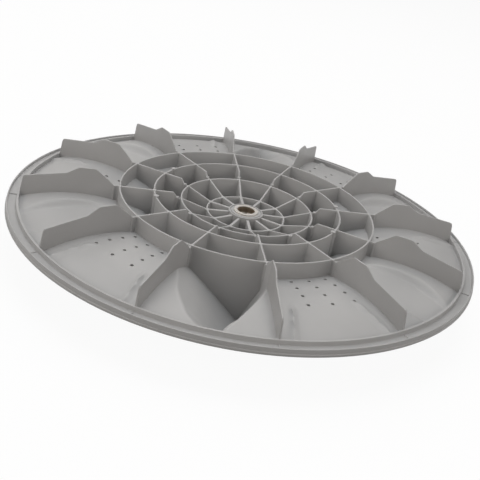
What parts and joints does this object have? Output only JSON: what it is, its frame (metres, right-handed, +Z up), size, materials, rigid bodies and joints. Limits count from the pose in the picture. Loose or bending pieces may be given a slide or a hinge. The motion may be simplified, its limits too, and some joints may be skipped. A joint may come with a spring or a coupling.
{
  "type": "washing machine pulsator",
  "caption": "Round grey plastic pulsator disc lying on its wash side, with vanes and a rib cage on its back and a splined metal bush in its hub.",
  "frame": {"origin": "under the disc's centre, on the surface that its dome rests on", "axes": "+Z up along the drive shaft's axis, out of the ribbed back; +X and +Y each along a vane"},
  "size_m": [0.4208, 0.4208, 0.0736],
  "materials": {
    "grey_plastic": "matte moulded polypropylene",
    "bush_metal": "turned, slightly dull"
  },
  "bodies": {
    "root": {"pulsator_disc": "grey_plastic", "splined_bush": "bush_metal"}
  },
  "joints": []
}
